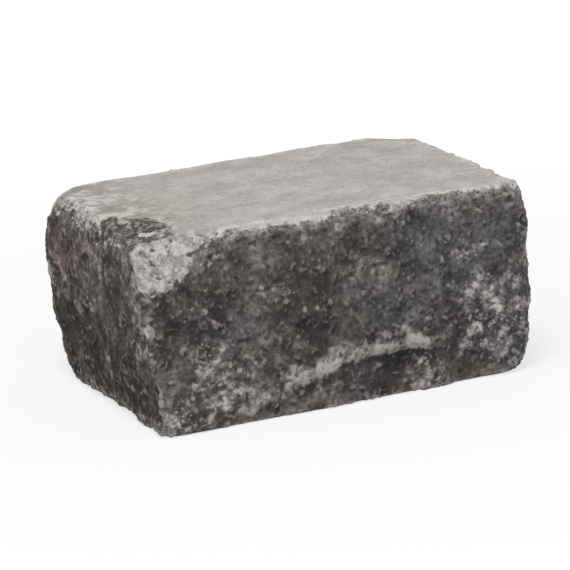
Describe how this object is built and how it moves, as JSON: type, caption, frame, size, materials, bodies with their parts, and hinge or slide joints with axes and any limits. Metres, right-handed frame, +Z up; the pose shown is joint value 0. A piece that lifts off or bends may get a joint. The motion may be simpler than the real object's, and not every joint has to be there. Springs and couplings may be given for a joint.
{
  "type": "split-face wall block",
  "caption": "Solid oblong concrete block with a rough split front, bulging ends and tumbled, chipped edges, laid flat on its bed to build low garden and retaining walls.",
  "frame": {"origin": "middle of the bed face, the face the block lies on", "axes": "+X along the wall, -Y out of the split face towards the viewer of the wall, +Z up from the bed to the top"},
  "size_m": [0.322, 0.214, 0.15],
  "materials": {
    "concrete": "rough split and tumbled concrete, charcoal brown with pale aggregate, lighter on the worn edges and the pressed top"
  },
  "bodies": {
    "root": {"wall_block": "concrete"}
  },
  "joints": []
}
